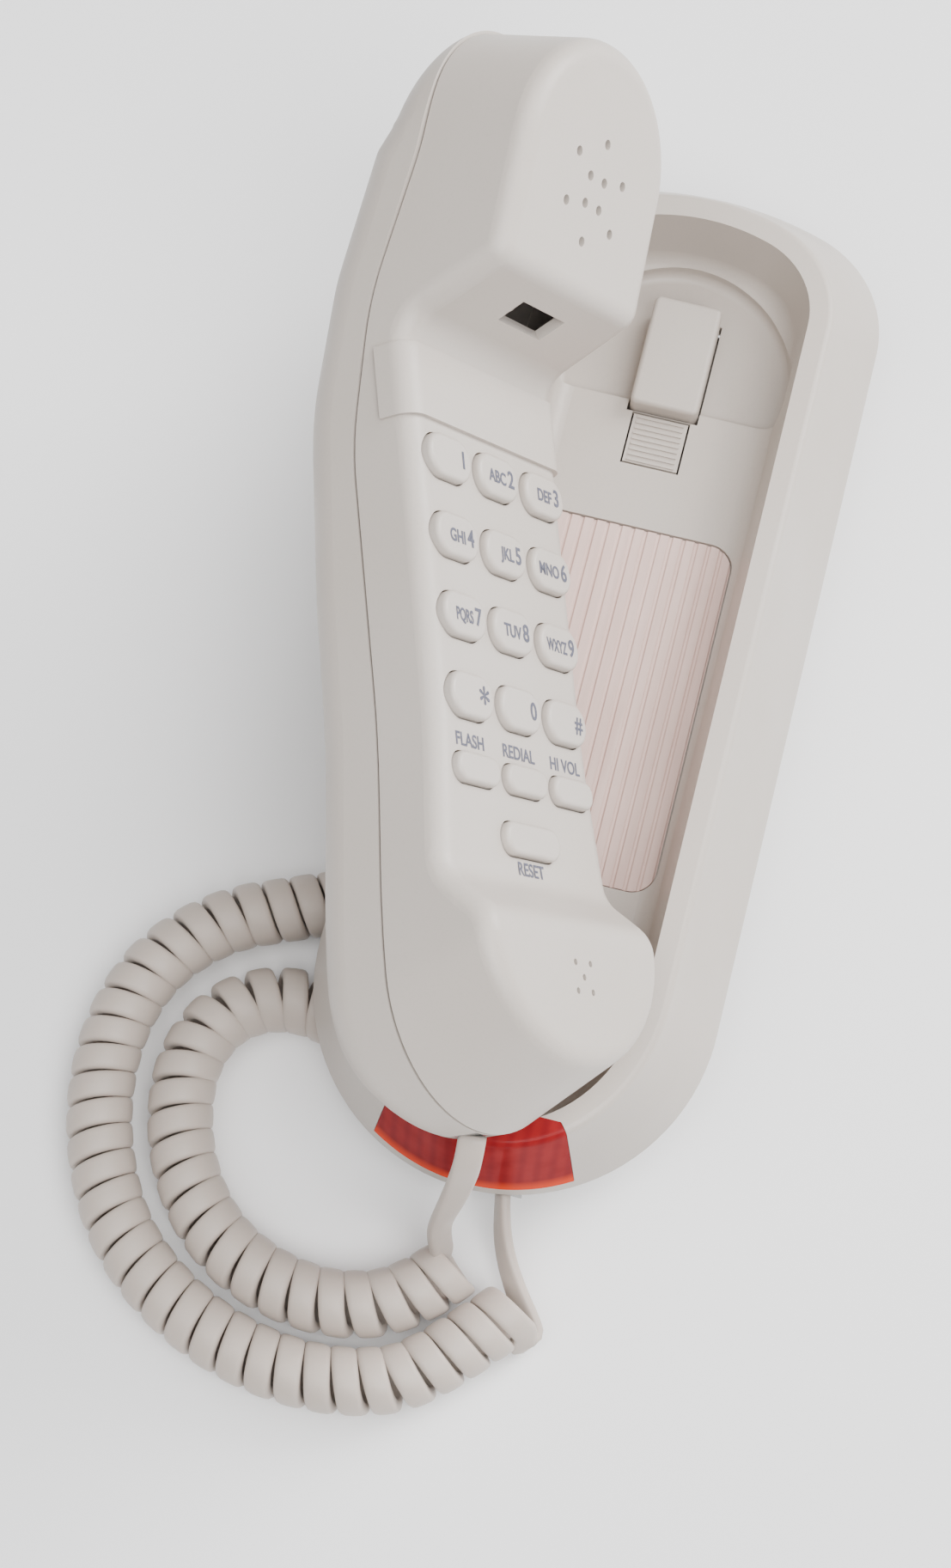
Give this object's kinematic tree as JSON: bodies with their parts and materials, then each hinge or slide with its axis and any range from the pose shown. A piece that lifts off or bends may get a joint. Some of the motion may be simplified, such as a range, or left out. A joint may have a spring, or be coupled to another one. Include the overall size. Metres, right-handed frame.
{
  "type": "slimline wall phone",
  "caption": "Slimline corded wall phone lying on its bracket, handset off the hook, with keypad in the handset, message lamp lens and coiled cord.",
  "frame": {"origin": "middle of the wall bracket's back face, between its two long sides and level with the base's mid length", "axes": "+Y towards the earpiece end, +X the right-hand side seen from above, +Z away from the wall or desk"},
  "size_m": [0.1246, 0.2712, 0.1212],
  "materials": {
    "housing": "fine satin moulded texture",
    "keys": "satin, moulded",
    "card": "ribbed, matt",
    "lens": "translucent, glossy, ribbed inside",
    "lamp": "clear tinted",
    "cord": "soft satin",
    "clear_plug": "clear",
    "steel": "plated",
    "board": "solder mask",
    "black_parts": "moulded",
    "rubber": "matt"
  },
  "bodies": {
    "base": {"base_upper_shell": "housing", "message_lens": "lens", "message_lamps": "lamp", "lamp_board": "board", "number_card": "card", "hookswitch_pin": "steel", "hook_microswitch": "black_parts", "base_back_plate": "housing", "base_screws": "steel", "base_pcb": "board", "base_pcb_chips": "black_parts", "ringer": "black_parts", "base_handset_jack": "black_parts", "line_jack": "black_parts", "wall_bracket": "housing", "bracket_pads": "rubber", "bracket_screws": "steel", "base_plug": "clear_plug", "handset_lead": "cord", "cord_coil": "cord", "base_lead": "cord"},
    "handset": {"handset_front_shell": "housing", "handset_back_shell": "housing", "name_band": "housing", "handset_screws": "steel", "keypad_mat": "rubber", "keypad_pcb": "board", "receiver_gasket": "rubber", "receiver_capsule": "black_parts", "microphone": "steel", "microphone_boot": "rubber", "ballast_weight": "steel", "handset_jack": "black_parts", "handset_plug": "clear_plug"},
    "hookswitch": {"hookswitch_lever": "housing"},
    "release": {"release_tab": "housing"},
    "key_body_1": {"key_1": "keys"},
    "key_body_2": {"key_2": "keys"},
    "key_body_3": {"key_3": "keys"},
    "key_body_4": {"key_4": "keys"},
    "key_body_5": {"key_5": "keys"},
    "key_body_6": {"key_6": "keys"},
    "key_body_7": {"key_7": "keys"},
    "key_body_8": {"key_8": "keys"},
    "key_body_9": {"key_9": "keys"},
    "key_body_star": {"key_star": "keys"},
    "key_body_0": {"key_0": "keys"},
    "key_body_pound": {"key_pound": "keys"},
    "key_body_flash": {"key_flash": "keys"},
    "key_body_redial": {"key_redial": "keys"},
    "key_body_volume": {"key_volume": "keys"},
    "key_body_reset": {"key_reset": "keys"}
  },
  "joints": [
    {"name": "handset_lift", "type": "slide", "parent": "base", "child": "handset", "axis": [0, 0, 1], "range_m": [0, 0.06]},
    {"name": "hookswitch_press", "type": "hinge", "parent": "base", "child": "hookswitch", "pos_m": [0, 0.0776, 0.0199], "axis": [1, 0, 0], "range_deg": [0, 4], "stiffness_Nm_per_rad": 0.03, "springref_deg": -1.15},
    {"name": "release_press", "type": "hinge", "parent": "base", "child": "release", "pos_m": [0, 0.0431, 0.0232], "axis": [-1, 0, 0], "range_deg": [0, 5], "stiffness_Nm_per_rad": 0.03, "springref_deg": -1.15},
    {"name": "press_1", "type": "slide", "parent": "handset", "child": "key_body_1", "axis": [-0.8058, -0.237, -0.5427], "range_m": [0, 0.0011], "stiffness_N_per_m": 250, "springref_m": -0.0006},
    {"name": "press_2", "type": "slide", "parent": "handset", "child": "key_body_2", "axis": [-0.8058, -0.237, -0.5427], "range_m": [0, 0.0011], "stiffness_N_per_m": 250, "springref_m": -0.0006},
    {"name": "press_3", "type": "slide", "parent": "handset", "child": "key_body_3", "axis": [-0.8058, -0.237, -0.5427], "range_m": [0, 0.0011], "stiffness_N_per_m": 250, "springref_m": -0.0006},
    {"name": "press_4", "type": "slide", "parent": "handset", "child": "key_body_4", "axis": [-0.8058, -0.237, -0.5427], "range_m": [0, 0.0011], "stiffness_N_per_m": 250, "springref_m": -0.0006},
    {"name": "press_5", "type": "slide", "parent": "handset", "child": "key_body_5", "axis": [-0.8058, -0.237, -0.5427], "range_m": [0, 0.0011], "stiffness_N_per_m": 250, "springref_m": -0.0006},
    {"name": "press_6", "type": "slide", "parent": "handset", "child": "key_body_6", "axis": [-0.8058, -0.237, -0.5427], "range_m": [0, 0.0011], "stiffness_N_per_m": 250, "springref_m": -0.0006},
    {"name": "press_7", "type": "slide", "parent": "handset", "child": "key_body_7", "axis": [-0.8058, -0.237, -0.5427], "range_m": [0, 0.0011], "stiffness_N_per_m": 250, "springref_m": -0.0006},
    {"name": "press_8", "type": "slide", "parent": "handset", "child": "key_body_8", "axis": [-0.8058, -0.237, -0.5427], "range_m": [0, 0.0011], "stiffness_N_per_m": 250, "springref_m": -0.0006},
    {"name": "press_9", "type": "slide", "parent": "handset", "child": "key_body_9", "axis": [-0.8058, -0.237, -0.5427], "range_m": [0, 0.0011], "stiffness_N_per_m": 250, "springref_m": -0.0006},
    {"name": "press_star", "type": "slide", "parent": "handset", "child": "key_body_star", "axis": [-0.8058, -0.237, -0.5427], "range_m": [0, 0.0011], "stiffness_N_per_m": 250, "springref_m": -0.0006},
    {"name": "press_0", "type": "slide", "parent": "handset", "child": "key_body_0", "axis": [-0.8058, -0.237, -0.5427], "range_m": [0, 0.0011], "stiffness_N_per_m": 250, "springref_m": -0.0006},
    {"name": "press_pound", "type": "slide", "parent": "handset", "child": "key_body_pound", "axis": [-0.8058, -0.237, -0.5427], "range_m": [0, 0.0011], "stiffness_N_per_m": 250, "springref_m": -0.0006},
    {"name": "press_flash", "type": "slide", "parent": "handset", "child": "key_body_flash", "axis": [-0.8058, -0.237, -0.5427], "range_m": [0, 0.0011], "stiffness_N_per_m": 250, "springref_m": -0.0006},
    {"name": "press_redial", "type": "slide", "parent": "handset", "child": "key_body_redial", "axis": [-0.8058, -0.237, -0.5427], "range_m": [0, 0.0011], "stiffness_N_per_m": 250, "springref_m": -0.0006},
    {"name": "press_volume", "type": "slide", "parent": "handset", "child": "key_body_volume", "axis": [-0.8058, -0.237, -0.5427], "range_m": [0, 0.0011], "stiffness_N_per_m": 250, "springref_m": -0.0006},
    {"name": "press_reset", "type": "slide", "parent": "handset", "child": "key_body_reset", "axis": [-0.8058, -0.237, -0.5427], "range_m": [0, 0.0011], "stiffness_N_per_m": 250, "springref_m": -0.0006}
  ]
}
